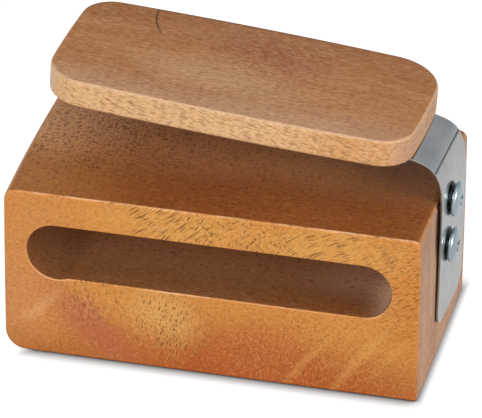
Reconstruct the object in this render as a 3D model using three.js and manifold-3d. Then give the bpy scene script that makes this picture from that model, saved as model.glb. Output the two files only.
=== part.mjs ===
// A hand wood block with a sprung clapper.
// A block of hardwood has one long round-ended slot milled into its front. A bent strip of
// spring steel is screwed to the block's right end and carries a thin wooden clapper over
// the top. Pressing the clapper's free end down and letting go makes it knock on the block.
// Millimetres, +Z up, the slotted front towards -Y, the strip at the +X end.
// The origin is on the ground, under the middle of the block.
import * as THREE from "three";
import { mergeVertices } from "three/addons/utils/BufferGeometryUtils.js";
import Module from "manifold-3d";

const wasm = await Module();
wasm.setup();

// Sizes shared by all pieces
const seatGap = 0.3; // between pieces that touch
const overrun = 2; // how far a cutter runs past the face that it opens
const arcSteps = 4; // half the steps of each rounded corner

// The block: its corners are on a plain box, and its ends swell out a little
const blockLength = 140;
const blockDepth = 78.2;
const blockHeight = 61;
const blockEdgeRadius = 1;
const blockLeftTopRadius = 4; // rounding of the left end's upper edge
const blockRightTopRadius = 2.5;
const blockLeftFootRadius = 7; // rounding of the left end's lower edge
const blockBackTopRadius = 3;
const blockBackFootRadius = 4;
const blockBackCornerRadius = 3.5; // upright edges at the back
const leftEndSwell = 0.7; // how far the left end swells, seen from above
const rightEndSwell = 0.3;
const endSwellInHeight = 0.1; // how far both ends swell, seen from the front

// The slot: blind, milled into the front
const slotLength = 123.2;
const slotHeight = 19.6;
const slotDepth = 34.5;
const slotCentreBelowTop = 21.6;
const slotSideShift = -0.8;

// The strip: blanked from spring steel, drilled, then bent
const stripWidth = 31.6;
const stripThickness = 0.6;
const stripCornerRadius = 5.6;
const stripYaw = -2.7; // degrees; the strip stands slightly askew on the block's end
const stripSideShift = 2.8; // of the plate's middle, towards the back
const plateFootBelowTop = 48; // the plate's lower end below the block's top
const plateLength = 44.3;
const plateTurn = 1.3; // degrees; only the plate's foot is pulled tight to the wood
const leanRadius = 66; // the plate's free top leans over the block
const leanTurn = 7;
const shoulderRadius = 14;
const shoulderTurn = 28;
const creaseRadius = 8; // the tightest part of the bend
const creaseTurn = 30;
const sweepRadius = 22; // the easier bend into the arm
const armTilt = 3.1; // degrees; the arm rises to the clapper's free end
const armLength = 39;

// The clapper: a flat board with swollen sides
const clapperLength = 125;
const clapperWidth = 57.6;
const clapperThickness = 9.8;
const clapperLeftFrontRadius = 14.5; // its corners are rounded by hand, no two alike
const clapperRightFrontRadius = 11.5;
const clapperRightBackRadius = 19;
const clapperLeftBackRadius = 11;
const clapperEdgeRadius = 1.1;
const clapperSideSwell = 1;
const clapperEndSwell = 0.3;
const clapperSideShift = 2.6; // from the arm's middle, towards the back
const clapperEndOverArm = 3.7; // the board's right end past the arm's flat part

// Pan head screws that hold the plate to the block
const endScrew = {
  headRadius: 6,
  headHeight: 2.4,
  rimHeight: 0.7,
  shankRadius: 2.4,
  shankLength: 26,
  tipLength: 5,
  recessSpan: 5.6,
  recessFloorSpan: 2.6,
  recessWidth: 1.5,
  recessDepth: 1.8,
};
const endScrewPitch = 16.4;
const endScrewTopDrop = 2.4; // upper screw below the end of the plate's flat part
const upperScrewLean = 3; // degrees; driven a little askew
const lowerScrewLean = 1.8;
const upperScrewSideShift = -0.9; // from the plate's middle, towards the back
const lowerScrewSideShift = -3;
const plateHoleClearance = 0.6;

// Pan head screws that hold the clapper to the arm, from below
const clapperScrew = {
  headRadius: 4,
  headHeight: 2,
  rimHeight: 0.5,
  shankRadius: 1.75,
  shankLength: 8.4,
  tipLength: 2,
  recessSpan: 3.8,
  recessFloorSpan: 1.8,
  recessWidth: 1,
  recessDepth: 1.2,
};
const clapperScrewPitch = 16;
const clapperScrewFromBend = 8; // outer screw from the start of the arm's flat part

// A manifold solid from a closed geometry, with only its corners kept
function solidOf(geometry) {
  const bare = geometry.clone();
  bare.deleteAttribute("normal");
  bare.deleteAttribute("uv");
  const merged = mergeVertices(bare);
  return new wasm.Manifold(
    new wasm.Mesh({
      numProp: 3,
      vertProperties: merged.attributes.position.array,
      triVerts: new Uint32Array(merged.index.array),
    }),
  );
}

// A flat-shaded geometry from a manifold solid
function geometryOf(solid) {
  const mesh = solid.getMesh();
  const geometry = new THREE.BufferGeometry();
  geometry.setAttribute("position", new THREE.BufferAttribute(mesh.vertProperties, mesh.numProp));
  geometry.setIndex(new THREE.BufferAttribute(mesh.triVerts, 1));
  const flat = geometry.toNonIndexed();
  flat.computeVertexNormals();
  return flat;
}

// A rectangle round the origin with a radius for each corner and a swell for each side,
// given from the lower left or the bottom and going anticlockwise
function softRectangle(width, height, radii, swells) {
  const [lowerLeft, lowerRight, upperRight, upperLeft] = radii;
  const [bottom, right, top, left] = swells;
  const x = width / 2;
  const y = height / 2;
  const outline = new THREE.Shape();
  outline.moveTo(lowerLeft - x, -y);
  outline.quadraticCurveTo(0, -y - 2 * bottom, x - lowerRight, -y);
  outline.absarc(x - lowerRight, lowerRight - y, lowerRight, -Math.PI / 2, 0);
  outline.quadraticCurveTo(x + 2 * right, 0, x, y - upperRight);
  outline.absarc(x - upperRight, y - upperRight, upperRight, 0, Math.PI / 2);
  outline.quadraticCurveTo(0, y + 2 * top, upperLeft - x, y);
  outline.absarc(upperLeft - x, y - upperLeft, upperLeft, Math.PI / 2, Math.PI);
  outline.quadraticCurveTo(-x - 2 * left, 0, -x, lowerLeft - y);
  outline.absarc(lowerLeft - x, lowerLeft - y, lowerLeft, Math.PI, 1.5 * Math.PI);
  return outline;
}

// An outline extruded by a length, centred on its own plane, +Z along the extrusion
function extruded(outline, length) {
  const geometry = new THREE.ExtrudeGeometry(outline, {
    depth: length,
    bevelEnabled: false,
    curveSegments: arcSteps,
  });
  return geometry.translate(0, 0, -length / 2);
}

// A cylinder along +X from a start, used to bore holes
function borer(radius, start, end) {
  const geometry = new THREE.CylinderGeometry(radius, radius, end - start, 6 * arcSteps);
  return geometry.rotateZ(Math.PI / 2).translate((start + end) / 2, 0, 0);
}

// The outer face of the strip, seen from the front: stations from the plate's foot to the
// arm's inner end, each with its place, its heading and its distance from both ends
function stripStations() {
  const sweepTurn = 90 - armTilt - leanTurn - shoulderTurn - creaseTurn;
  const bend = (radius, turn, steps) => {
    return { length: radius * THREE.MathUtils.degToRad(turn), turn, steps };
  };
  const runs = [
    { length: plateLength, turn: plateTurn, steps: 6 },
    bend(leanRadius, leanTurn, 3),
    bend(shoulderRadius, shoulderTurn, 6),
    bend(creaseRadius, creaseTurn, 6),
    bend(sweepRadius, sweepTurn, 4),
    { length: armLength, turn: 0, steps: 2 },
  ];
  const total = runs.reduce((sum, run) => sum + run.length, 0);
  const marks = [];
  let reached = 0;
  for (const run of runs) {
    for (let i = 0; i < run.steps; i++) marks.push(reached + (run.length * i) / run.steps);
    reached += run.length;
  }
  marks.push(total);
  // The rounded corners of the blank need close stations at both ends
  for (let i = 1; i <= 2 * arcSteps; i++) {
    const inset = stripCornerRadius * (1 - Math.cos((Math.PI / 2) * (i / (2 * arcSteps))));
    marks.push(inset, total - inset);
  }
  marks.sort((a, b) => a - b);
  const distances = marks.filter((mark, i) => i === 0 || mark - marks[i - 1] > seatGap / 100);

  return distances.map((distance) => {
    let x = 0;
    let z = blockHeight - plateFootBelowTop;
    let heading = -plateTurn; // degrees from straight up, turning over the block
    let left = distance;
    for (const run of runs) {
      const part = Math.min(left, run.length);
      const turned = (run.turn * part) / run.length;
      const chordHeading = THREE.MathUtils.degToRad(heading + turned / 2);
      const half = THREE.MathUtils.degToRad(turned / 2);
      const chord = half === 0 ? part : (part * Math.sin(half)) / half;
      x -= chord * Math.sin(chordHeading);
      z += chord * Math.cos(chordHeading);
      heading += turned;
      left -= part;
    }
    return { x, z, heading: THREE.MathUtils.degToRad(heading), distance, toEnd: total - distance };
  });
}

// Half the strip's width at a station: less inside the rounded corners
function halfWidthAt(station) {
  const fromEnd = Math.min(station.distance, station.toEnd);
  if (fromEnd >= stripCornerRadius) return stripWidth / 2;
  const reach = stripCornerRadius - fromEnd;
  const round = Math.sqrt(stripCornerRadius ** 2 - reach ** 2);
  return stripWidth / 2 - stripCornerRadius + Math.max(round, seatGap / 10);
}

// The bent strip as a loft of thin rectangles across its stations
function bentStrip(stations) {
  const positions = [];
  for (const station of stations) {
    const half = halfWidthAt(station);
    const inX = stripThickness * Math.cos(station.heading);
    const inZ = stripThickness * Math.sin(station.heading);
    positions.push(station.x, -half, station.z, station.x, half, station.z);
    positions.push(station.x - inX, half, station.z - inZ, station.x - inX, -half, station.z - inZ);
  }
  const indices = [];
  for (let i = 0; i < stations.length - 1; i++) {
    for (let side = 0; side < 4; side++) {
      const a = 4 * i + side;
      const b = 4 * i + ((side + 1) % 4);
      indices.push(a, b, b + 4, a, b + 4, a + 4);
    }
  }
  const last = 4 * (stations.length - 1);
  indices.push(0, 2, 1, 0, 3, 2, last, last + 1, last + 2, last, last + 2, last + 3);
  const geometry = new THREE.BufferGeometry();
  geometry.setAttribute("position", new THREE.Float32BufferAttribute(positions, 3));
  geometry.setIndex(indices);
  return geometry;
}

// A pan head screw along +X: the head's underside at x = 0 and its top at headHeight,
// with a cross recess that narrows to its floor
function panHeadScrew(size) {
  const dome = [];
  const domeSteps = 2 * arcSteps;
  for (let i = 0; i <= domeSteps; i++) {
    const angle = (Math.PI / 2) * (i / domeSteps);
    const rise = (size.headHeight - size.rimHeight) * Math.sin(angle);
    dome.push(new THREE.Vector2(size.headRadius * Math.cos(angle), size.rimHeight + rise));
  }
  dome[domeSteps].x = 0;
  const profile = [
    new THREE.Vector2(0, -size.shankLength),
    new THREE.Vector2(size.shankRadius, size.tipLength - size.shankLength),
    new THREE.Vector2(size.shankRadius, 0),
    new THREE.Vector2(size.headRadius, 0),
    ...dome,
  ];
  let solid = solidOf(new THREE.LatheGeometry(profile, 8 * arcSteps));
  const mouth = size.headHeight + size.rimHeight;
  const floor = size.headHeight - size.recessDepth;
  const wing = new THREE.Shape();
  wing.moveTo(-size.recessFloorSpan / 2, floor);
  wing.lineTo(size.recessFloorSpan / 2, floor);
  wing.lineTo(size.recessSpan / 2, mouth);
  wing.lineTo(-size.recessSpan / 2, mouth);
  for (const turn of [0, Math.PI / 2]) {
    solid = solid.subtract(solidOf(extruded(wing, size.recessWidth).rotateY(turn + Math.PI / 4)));
  }
  return geometryOf(solid).rotateZ(-Math.PI / 2);
}

// Frames: the strip's own, standing on the ground under the plate's outer face, and the
// arm's, at the start of its flat part with +X towards the bend and +Z up through the board
const stations = stripStations();
const armStart = stations.find((station) => station.toEnd <= armLength + seatGap / 100);
const frontInset = (stripWidth / 2) * Math.sin(THREE.MathUtils.degToRad(-stripYaw));
const stripFrame = new THREE.Group();
stripFrame.position.set(
  blockLength / 2 + rightEndSwell + seatGap + stripThickness + frontInset,
  stripSideShift,
  0,
);
stripFrame.rotation.z = THREE.MathUtils.degToRad(stripYaw);
const armFrame = new THREE.Group();
armFrame.position.set(armStart.x, 0, armStart.z);
armFrame.rotation.y = THREE.MathUtils.degToRad(armTilt);
stripFrame.add(armFrame);

// Each screw has a frame of its own, with +X out of its head
function screwFrame(parent, x, y, z, turn) {
  const holder = new THREE.Group();
  holder.position.set(x, y, z);
  holder.rotation.y = turn;
  parent.add(holder);
  return holder;
}

// How far out the strip's outer face is at a height of the plate
function plateFaceAt(height) {
  const above = stations.findIndex((station) => station.z > height);
  const [low, high] = [stations[above - 1], stations[above]];
  return THREE.MathUtils.mapLinear(height, low.z, high.z, low.x, high.x);
}

// The head's lowest rim point sits one gap off the plate
function endScrewFrame(drop, sideShift, lean) {
  const height = blockHeight - plateFootBelowTop + plateLength - drop;
  const angle = THREE.MathUtils.degToRad(lean);
  const standOff = seatGap + endScrew.headRadius * Math.sin(angle);
  return screwFrame(stripFrame, plateFaceAt(height) + standOff, sideShift, height, angle);
}

const upperScrewHolder = endScrewFrame(endScrewTopDrop, upperScrewSideShift, upperScrewLean);
const lowerScrewHolder = endScrewFrame(
  endScrewTopDrop + endScrewPitch,
  lowerScrewSideShift,
  lowerScrewLean,
);

function clapperScrewFrame(fromBend) {
  return screwFrame(armFrame, -fromBend, 0, -stripThickness - seatGap, Math.PI / 2);
}

const outerScrewHolder = clapperScrewFrame(clapperScrewFromBend);
const innerScrewHolder = clapperScrewFrame(clapperScrewFromBend + clapperScrewPitch);

// A hole for a screw, turned from the screw's frame into the frame of the piece it goes through
function screwHole(holder, pieceFrame, radius, depth) {
  holder.updateWorldMatrix(true, false);
  pieceFrame.updateWorldMatrix(true, false);
  const toPiece = pieceFrame.matrixWorld.clone().invert().multiply(holder.matrixWorld);
  return solidOf(borer(radius, -depth, overrun).applyMatrix4(toPiece));
}

// The block: three outlines, each extruded right through, and what they have in common
function blockGeometry() {
  const edge = blockEdgeRadius;
  const front = softRectangle(
    blockLength,
    blockHeight,
    [blockLeftFootRadius, edge, blockRightTopRadius, blockLeftTopRadius],
    [0, endSwellInHeight + rightEndSwell, 0, endSwellInHeight + leftEndSwell],
  );
  const plan = softRectangle(
    blockLength,
    blockDepth,
    [edge, edge, blockBackCornerRadius, blockBackCornerRadius],
    [0, rightEndSwell + endSwellInHeight, 0, leftEndSwell + endSwellInHeight],
  );
  const end = softRectangle(
    blockDepth,
    blockHeight,
    [edge, blockBackFootRadius, blockBackTopRadius, edge],
    [0, 0, 0, 0],
  );
  const through = blockLength + blockDepth;
  let solid = solidOf(extruded(front, through).rotateX(Math.PI / 2));
  solid = solid.intersect(solidOf(extruded(plan, through)));
  solid = solid.intersect(solidOf(extruded(end, through).rotateX(Math.PI / 2).rotateZ(Math.PI / 2)));
  solid = solid.translate([0, 0, blockHeight / 2]);

  const slotRadius = slotHeight / 2;
  const slot = softRectangle(
    slotLength,
    slotHeight,
    [slotRadius, slotRadius, slotRadius, slotRadius],
    [0, 0, 0, 0],
  );
  const slotCutter = extruded(slot, slotDepth + overrun).rotateX(Math.PI / 2);
  const slotMiddle = -blockDepth / 2 + (slotDepth - overrun) / 2;
  slotCutter.translate(slotSideShift, slotMiddle, blockHeight - slotCentreBelowTop);
  solid = solid.subtract(solidOf(slotCutter));

  const root = new THREE.Group();
  for (const holder of [upperScrewHolder, lowerScrewHolder]) {
    const radius = endScrew.shankRadius + seatGap;
    solid = solid.subtract(screwHole(holder, root, radius, endScrew.shankLength + seatGap));
  }
  return geometryOf(solid);
}

// The strip, bent and then drilled for its four screws
function stripGeometry() {
  let solid = solidOf(bentStrip(stations));
  for (const holder of [upperScrewHolder, lowerScrewHolder]) {
    const radius = endScrew.shankRadius + plateHoleClearance;
    solid = solid.subtract(screwHole(holder, stripFrame, radius, stripThickness + overrun));
  }
  for (const holder of [outerScrewHolder, innerScrewHolder]) {
    const radius = clapperScrew.shankRadius + seatGap;
    solid = solid.subtract(screwHole(holder, stripFrame, radius, stripThickness + overrun));
  }
  return geometryOf(solid);
}

// The clapper's board in the arm's frame, with blind holes for its screws
function clapperGeometry() {
  const radii = [
    clapperLeftFrontRadius,
    clapperRightFrontRadius,
    clapperRightBackRadius,
    clapperLeftBackRadius,
  ];
  const swells = [clapperSideSwell, clapperEndSwell, clapperSideSwell, clapperEndSwell];
  const outline = softRectangle(clapperLength, clapperWidth, radii, swells);
  const board = new THREE.ExtrudeGeometry(outline, {
    depth: clapperThickness - 2 * clapperEdgeRadius,
    bevelThickness: clapperEdgeRadius,
    bevelSize: clapperEdgeRadius,
    bevelOffset: -clapperEdgeRadius,
    bevelSegments: 3,
    curveSegments: arcSteps,
  });
  board.translate(
    clapperEndOverArm - clapperLength / 2,
    clapperSideShift,
    clapperEdgeRadius + seatGap,
  );
  let solid = solidOf(board);
  for (const holder of [outerScrewHolder, innerScrewHolder]) {
    const radius = clapperScrew.shankRadius + seatGap;
    solid = solid.subtract(screwHole(holder, armFrame, radius, clapperScrew.shankLength + seatGap));
  }
  return geometryOf(solid);
}

const oiledWood = { color: 0xb87a45, roughness: 0.55, metalness: 0 };
const clapperWood = { color: 0xa8764b, roughness: 0.6, metalness: 0 };
const platedSteel = { color: 0xb9bcc0, roughness: 0.18, metalness: 1 };

function addPiece(parent, name, geometry, finish) {
  const piece = new THREE.Mesh(geometry, new THREE.MeshStandardMaterial(finish));
  piece.name = name;
  parent.add(piece);
}

const woodBlock = new THREE.Group();
woodBlock.add(stripFrame);
addPiece(woodBlock, "block_body", blockGeometry(), oiledWood);
addPiece(stripFrame, "spring_strip", stripGeometry(), platedSteel);
addPiece(armFrame, "clapper_board", clapperGeometry(), clapperWood);
addPiece(upperScrewHolder, "end_screw_upper", panHeadScrew(endScrew), platedSteel);
addPiece(lowerScrewHolder, "end_screw_lower", panHeadScrew(endScrew), platedSteel);
addPiece(outerScrewHolder, "clapper_screw_outer", panHeadScrew(clapperScrew), platedSteel);
addPiece(innerScrewHolder, "clapper_screw_inner", panHeadScrew(clapperScrew), platedSteel);

export default woodBlock;
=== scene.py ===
# %% [markdown]
# # A hand wood block with a sprung clapper
# The object is a block of oiled hardwood with one long slot in its front. A bent strip of
# plated steel is screwed to its right end and holds a thin wooden clapper over its top.
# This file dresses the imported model: it rebuilds each visible piece with finer edges, gives
# each one its finish, and sets the photograph's camera, floor and light. Blender counts in
# metres, so every length in millimetres is written times mm.

# %% Load the frame
import math

import bmesh
import bpy
from mathutils import Matrix, Vector


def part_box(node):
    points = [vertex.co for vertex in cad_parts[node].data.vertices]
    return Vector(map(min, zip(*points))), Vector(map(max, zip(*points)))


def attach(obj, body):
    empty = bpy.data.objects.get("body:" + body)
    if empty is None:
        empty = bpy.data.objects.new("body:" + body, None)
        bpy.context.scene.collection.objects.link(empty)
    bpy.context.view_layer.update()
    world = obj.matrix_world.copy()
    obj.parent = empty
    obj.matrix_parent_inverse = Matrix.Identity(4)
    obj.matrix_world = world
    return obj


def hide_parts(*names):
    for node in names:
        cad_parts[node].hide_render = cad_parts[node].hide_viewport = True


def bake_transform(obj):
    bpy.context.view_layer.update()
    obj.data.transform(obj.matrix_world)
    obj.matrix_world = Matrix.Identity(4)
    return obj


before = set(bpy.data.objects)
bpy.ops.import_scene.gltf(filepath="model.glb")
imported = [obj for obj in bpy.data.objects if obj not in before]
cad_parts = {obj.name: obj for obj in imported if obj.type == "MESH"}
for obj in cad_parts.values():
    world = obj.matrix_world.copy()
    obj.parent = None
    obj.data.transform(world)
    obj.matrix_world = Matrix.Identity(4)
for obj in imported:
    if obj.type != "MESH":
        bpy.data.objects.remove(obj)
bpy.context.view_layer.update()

mm = 0.001
print("nodes:", sorted(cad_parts))

# %% [markdown]
# ## The camera
# The photograph was taken from the front, a little from the right and well above, through a
# long lens that keeps the edges of the block nearly parallel. The three directions of the
# camera are built from its turn, its height and a slight roll. The point in the middle of the
# picture then gives its place, straight back from there.

# %% Camera
camera_turn, camera_height, camera_roll = (math.radians(a) for a in (13.18, 30.29, 0.59))
camera_distance, sensor_width, focal_length = 1.83, 36, 405.4  # m, mm, mm
aim_right, aim_up = 1.325, 35.68  # mm from the origin, in the picture's directions
to_camera = Vector((
    math.sin(camera_turn) * math.cos(camera_height),
    -math.cos(camera_turn) * math.cos(camera_height),
    math.sin(camera_height),
))
level_right = Vector((math.cos(camera_turn), math.sin(camera_turn), 0))
level_up = to_camera.cross(level_right)
camera_right = level_right * math.cos(camera_roll) + level_up * math.sin(camera_roll)
camera_up = level_up * math.cos(camera_roll) - level_right * math.sin(camera_roll)
aim = (camera_right * aim_right + camera_up * aim_up) * mm

camera = bpy.data.objects.new("camera", bpy.data.cameras.new("camera"))
bpy.context.scene.collection.objects.link(camera)
camera.data.sensor_width, camera.data.lens = sensor_width, focal_length
camera.data.clip_start, camera.data.clip_end = 0.1, 20
turn = Matrix((camera_right, camera_up, to_camera)).transposed()
camera.matrix_world = Matrix.Translation(aim + to_camera * camera_distance) @ turn.to_4x4()
bpy.context.scene.camera = camera
print("camera at, m:", [round(c, 3) for c in camera.location])

# %% [markdown]
# ## Working by hand, in code
# Each piece starts as a primitive that is set at its size and place, and then worked in edit
# mode. With a mouse one would click the edges to work on. Here a short test on an edge's or a
# face's place picks them, so the same choice is made every time the file runs. Some faces are
# also marked, so that a finish can tell later where the wood takes wear and a painted
# highlight, and where the metal takes painted crevice shade.

# %% Start a piece and pick parts of it
def begin(name, add, **settings):
    """Adds a primitive with nothing else selected, sets its place into its mesh, and edits it."""
    if bpy.context.object and bpy.context.object.mode == "EDIT":
        bpy.ops.object.mode_set(mode="OBJECT")
    bpy.ops.object.select_all(action="DESELECT")
    add(**settings)
    piece = bpy.context.object
    piece.name = piece.data.name = name
    bpy.ops.object.transform_apply(location=True, rotation=True, scale=True)
    bpy.ops.object.mode_set(mode="EDIT")
    return piece


def pick(kind, wanted):
    """Selects only the vertices, edges or faces that pass a test, and counts them."""
    bpy.ops.mesh.select_mode(type=kind)
    bpy.ops.mesh.select_all(action="DESELECT")
    mesh = bmesh.from_edit_mesh(bpy.context.object.data)
    mesh.normal_update()
    found = 0
    for element in {"VERT": mesh.verts, "EDGE": mesh.edges, "FACE": mesh.faces}[kind]:
        if wanted(element):
            element.select_set(True)
            found += 1
    mesh.select_flush_mode()
    bmesh.update_edit_mesh(bpy.context.object.data)
    return found


def both_ends(edge, test):
    """Whether both vertices of an edge pass a test on their place."""
    return all(test(vertex.co) for vertex in edge.verts)


def mark(piece, name):
    """Marks the selected faces in an attribute that a finish can read."""
    if name not in piece.data.attributes:
        bpy.ops.geometry.attribute_add(name=name, domain="FACE", data_type="FLOAT")
    bpy.ops.mesh.attribute_set(value_float=1)


hair = 0.02 * mm  # what counts as the same place

# %% [markdown]
# ## Finishing a piece
# A cut is made with a second solid, the cutter, and a Boolean modifier. Small edges are
# rounded with a Bevel modifier that only takes sharp ones, and a Weighted Normal modifier
# keeps the large faces flat in the light. All are applied, so the mesh is what is seen. The
# middle of each piece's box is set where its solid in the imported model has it, and the print
# says by how much the two boxes differ.

# %% Cut, round and count
crease = math.radians(35)  # an edge with a larger angle stays sharp in the light


def cut(piece, cutter):
    """Takes the cutter's volume out of the piece."""
    bpy.ops.object.mode_set(mode="OBJECT")
    bpy.context.view_layer.objects.active = piece
    taken = piece.modifiers.new("cut", "BOOLEAN")
    taken.operation, taken.solver, taken.object = "DIFFERENCE", "EXACT", cutter
    bpy.ops.object.modifier_apply(modifier=taken.name)
    bpy.data.objects.remove(cutter)


def apply_modifier(piece, kind, **settings):
    """Adds a modifier to the piece with its settings and applies it."""
    bpy.context.view_layer.objects.active = piece
    modifier = piece.modifiers.new(kind.lower(), kind)
    for name, value in settings.items():
        setattr(modifier, name, value)
    bpy.ops.object.modifier_apply(modifier=modifier.name)


def smooth(piece):
    """Smooth shading with flat faces kept flat."""
    if piece.mode == "EDIT":
        bpy.ops.object.mode_set(mode="OBJECT")
    bpy.ops.object.select_all(action="DESELECT")
    piece.select_set(True)
    bpy.context.view_layer.objects.active = piece
    bpy.ops.object.shade_smooth_by_angle(angle=crease)
    apply_modifier(piece, "WEIGHTED_NORMAL", keep_sharp=True)


def seat_on(piece, node):
    """Moves a piece so that the middle of its box is that of its CAD node, and says how far."""
    low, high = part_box(node)
    corners = [vertex.co for vertex in piece.data.vertices]
    mine = [(min(c[i] for c in corners) + max(c[i] for c in corners)) / 2 for i in range(3)]
    shift = (low + high) / 2 - Vector(mine)
    piece.data.transform(Matrix.Translation(shift))
    size = [max(c[i] for c in corners) - min(c[i] for c in corners) for i in range(3)]
    over = [round((s - t) / mm, 3) for s, t in zip(size, high - low)]
    print(f"{piece.name}: shifted {[round(s / mm, 3) for s in shift]}, larger by {over} mm,",
          len(piece.data.polygons), "faces")
    return shift


# %% [markdown]
# ## The block
# The real block is sawn and planed from one piece of hardwood and rounded on a sander, which
# leaves its ends a little swollen and no two edges alike. It could be cut from three outlines
# as a joiner would, but a box is closer to the hand: it is sliced, and the rows of its end
# faces are pushed out, furthest at the middle row and not at all at the edges.

# %% Block: box with swollen ends
length, depth, height = 140 * mm, 78.2 * mm, 61 * mm
block = begin("block", bpy.ops.mesh.primitive_cube_add, size=1,
              location=(0, 0, height / 2), scale=(length, depth, height))
rows = (-0.75, -0.5, -0.25, 0, 0.25, 0.5, 0.75)
for share in rows:
    for place, direction in (
        ((0, share * depth / 2, 0), (0, 1, 0)),
        ((0, 0, (1 + share) * height / 2), (0, 0, 1)),
    ):
        bpy.ops.mesh.select_all(action="SELECT")
        bpy.ops.mesh.bisect(plane_co=place, plane_no=direction)

swell_in_height = 0.1 * mm
for end, swell_in_depth in ((-1, 0.7 * mm), (1, 0.3 * mm)):
    for share in rows:
        fall = 1 - share**2
        pick("VERT", lambda v: v.co.x * end > length / 2 - hair
             and abs(v.co.y - share * depth / 2) < hair)
        bpy.ops.transform.translate(value=(end * swell_in_depth * fall, 0, 0))
        pick("VERT", lambda v: v.co.x * end > length / 2 - hair
             and abs(v.co.z - (1 + share) * height / 2) < hair)
        bpy.ops.transform.translate(value=(end * swell_in_height * fall, 0, 0))
for side in (-1, 1):
    pick("FACE", lambda f: f.normal.y * side > 0.999)
    bpy.ops.mesh.dissolve_faces()
bpy.ops.object.mode_set(mode="OBJECT")
print("block:", len(block.data.vertices), "vertices before rounding")
bpy.ops.object.mode_set(mode="EDIT")

# %% [markdown]
# Four edges run from front to back. The left foot is the roundest, where the sander dwelt, and
# the right foot is nearly sharp. A bevel folds over itself where it is wider than the corner
# that it goes round. So the two left edges come first, then the back outline, then the two
# right edges with the mitre that the back left on each, and last the front.

# %% Block: rounded edges
front_radius, back_radius = 0.95 * mm, 3.4 * mm
most_swell = 0.8 * mm  # how far the swell moves an edge or bends a mitre
for end, level, radius in ((-1, height, 4), (-1, 0, 7), (1, height, 2.5), (1, 0, 1)):
    if end == 1 and level == height:
        pick("EDGE", lambda e: both_ends(e, lambda c: c.y > depth / 2 - hair))
        bpy.ops.mesh.bevel(offset=back_radius, segments=8, affect="EDGES")
    pick("EDGE", lambda e: both_ends(
        e, lambda c: c.x * end > length / 2 - back_radius - mm
        and abs(length / 2 - c.x * end - abs(c.z - level)) < most_swell))
    bpy.ops.mesh.bevel(offset=radius * mm, segments=8, affect="EDGES")
pick("EDGE", lambda e: both_ends(e, lambda c: c.y < hair - depth / 2))
bpy.ops.mesh.bevel(offset=front_radius, segments=5, affect="EDGES")
bpy.ops.object.mode_set(mode="OBJECT")
print("block:", len(block.data.vertices), "vertices after rounding")

# %% [markdown]
# ## The slot
# The slot that makes the block ring is milled from the front with a round cutter, so its ends
# are half circles and its floor is flat. The solid that it removes is a long box whose four
# long edges are rounded by half its height. The cutter was first plunged in at the left end,
# a little low, and left a wider hole there, which a cylinder cuts. The rim is then broken
# with a small bevel, as sandpaper breaks it. Its lower half and the block's upper front edge
# are where a hand wears the wood and where a painted highlight lies on the rounding, so their
# faces are marked.

# %% Slot
slot_length, slot_height, slot_depth = 123.2 * mm, 19.6 * mm, 34.5 * mm
slot_middle = Vector((-0.8 * mm, -depth / 2, height - 21.6 * mm))
slot_cutter = begin("slot_cutter", bpy.ops.mesh.primitive_cube_add, size=1,
                    location=slot_middle, scale=(slot_length, 2 * slot_depth, slot_height))
pick("EDGE", lambda e: abs(e.verts[0].co.y - e.verts[1].co.y) > slot_depth)
bpy.ops.mesh.bevel(offset=slot_height / 2 - hair, segments=24, affect="EDGES")
cut(block, slot_cutter)

plunge_radius, plunge_offset = 10.12 * mm, Vector((-51.4 * mm, 0, -0.43 * mm))
plunge = begin("plunge", bpy.ops.mesh.primitive_cylinder_add, vertices=64,
               radius=plunge_radius, depth=2 * slot_depth - mm,
               rotation=(math.pi / 2, 0, 0), location=slot_middle + plunge_offset)
cut(block, plunge)
bpy.context.view_layer.objects.active = block
bpy.ops.object.mode_set(mode="EDIT")

rim_bevel = 0.4 * mm


def on_rim(edge):
    """Whether an edge of the front face goes round the slot."""
    facing = [face.normal.y for face in edge.link_faces]
    return len(facing) == 2 and abs(facing[0] - facing[1]) > 0.9 and both_ends(
        edge, lambda c: c.y < hair - depth / 2 and abs(c.z - slot_middle.z) < slot_height / 2 + mm)


def on_lower_rim(face):
    """Whether a face lies on the lower half of the slot's bevelled rim."""
    middle = face.calc_center_median()
    return (-0.97 < face.normal.y < -0.3 and face.normal.z > -0.1
            and hair < middle.y + depth / 2 < rim_bevel and middle.z < slot_middle.z
            and abs(middle.x - slot_middle.x) < slot_length / 2 + mm)


rim = pick("EDGE", on_rim)
bpy.ops.mesh.bevel(offset=rim_bevel, segments=3, affect="EDGES")
# Marked for wear and a painted highlight: the lower half of the slot's rim and the upper front
# edge.
rim_wear_and_highlight = pick("FACE", on_lower_rim)
mark(block, "wear_and_highlight")
edge_wear_and_highlight = pick("FACE", lambda f: f.calc_center_median().z > height - 0.9 * mm
                 and -0.88 < f.normal.y < -0.45 and f.normal.z > 0.3)
mark(block, "wear_and_highlight")
print("slot: rim of", rim, "edges,", rim_wear_and_highlight, "worn faces, and", edge_wear_and_highlight, "on the front edge")
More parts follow.
